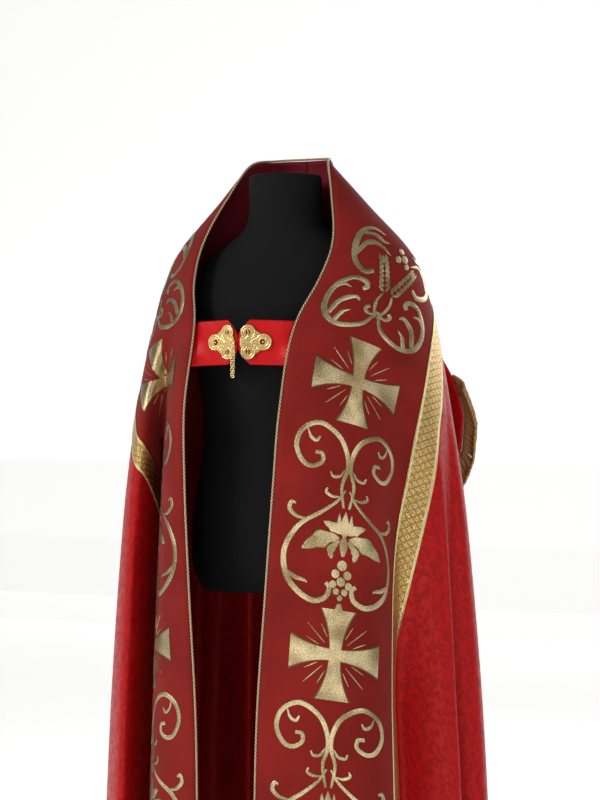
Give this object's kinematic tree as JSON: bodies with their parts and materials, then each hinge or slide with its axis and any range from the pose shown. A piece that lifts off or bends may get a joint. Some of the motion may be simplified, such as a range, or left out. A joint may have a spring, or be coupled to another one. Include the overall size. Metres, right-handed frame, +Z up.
{
  "type": "cope vestment on a dress form",
  "caption": "Open-fronted red cope with embroidered orphrey bands, braid, back hood with fringe and a chest clasp, hung on a plain black dress form",
  "frame": {"origin": "middle of the dress form's foot, on the floor, under the middle of the whole object", "axes": "+Z up, -Y to the front, +X to the wearer's left"},
  "size_m": [0.7248, 0.5222, 1.5425],
  "materials": {
    "scarlet_satin": "satin damask",
    "strap_satin": "satin",
    "orphrey_cloth": "matt woven",
    "facing_cloth": "matt woven",
    "gold_braid": "metallic woven",
    "gold_cord": "metallic cord",
    "bullion_fringe": "twisted metallic cords",
    "clasp_metal": "polished",
    "form_cover": "black jersey",
    "pole_steel": "brushed",
    "base_black": "satin black"
  },
  "bodies": {
    "vestment": {"body": "scarlet_satin", "orphrey_left": "orphrey_cloth", "orphrey_right": "orphrey_cloth", "facing_left": "facing_cloth", "facing_right": "facing_cloth", "galloon_left": "gold_braid", "galloon_right": "gold_braid", "piping_left": "gold_cord", "piping_right": "gold_cord", "hood": "scarlet_satin", "hood_fringe": "bullion_fringe", "strap_left": "strap_satin", "strap_right": "strap_satin", "clasp_plate_left": "clasp_metal", "clasp_plate_right": "clasp_metal", "form_torso": "form_cover", "form_neck_cap": "form_cover", "form_pole": "pole_steel", "form_base": "base_black"},
    "drop": {"clasp_drop": "clasp_metal"}
  },
  "joints": [
    {"name": "drop_swing", "type": "hinge", "parent": "vestment", "child": "drop", "pos_m": [-0.0062, -0.172, 1.212], "axis": [0, -1, 0], "range_deg": [-40, 40]}
  ]
}
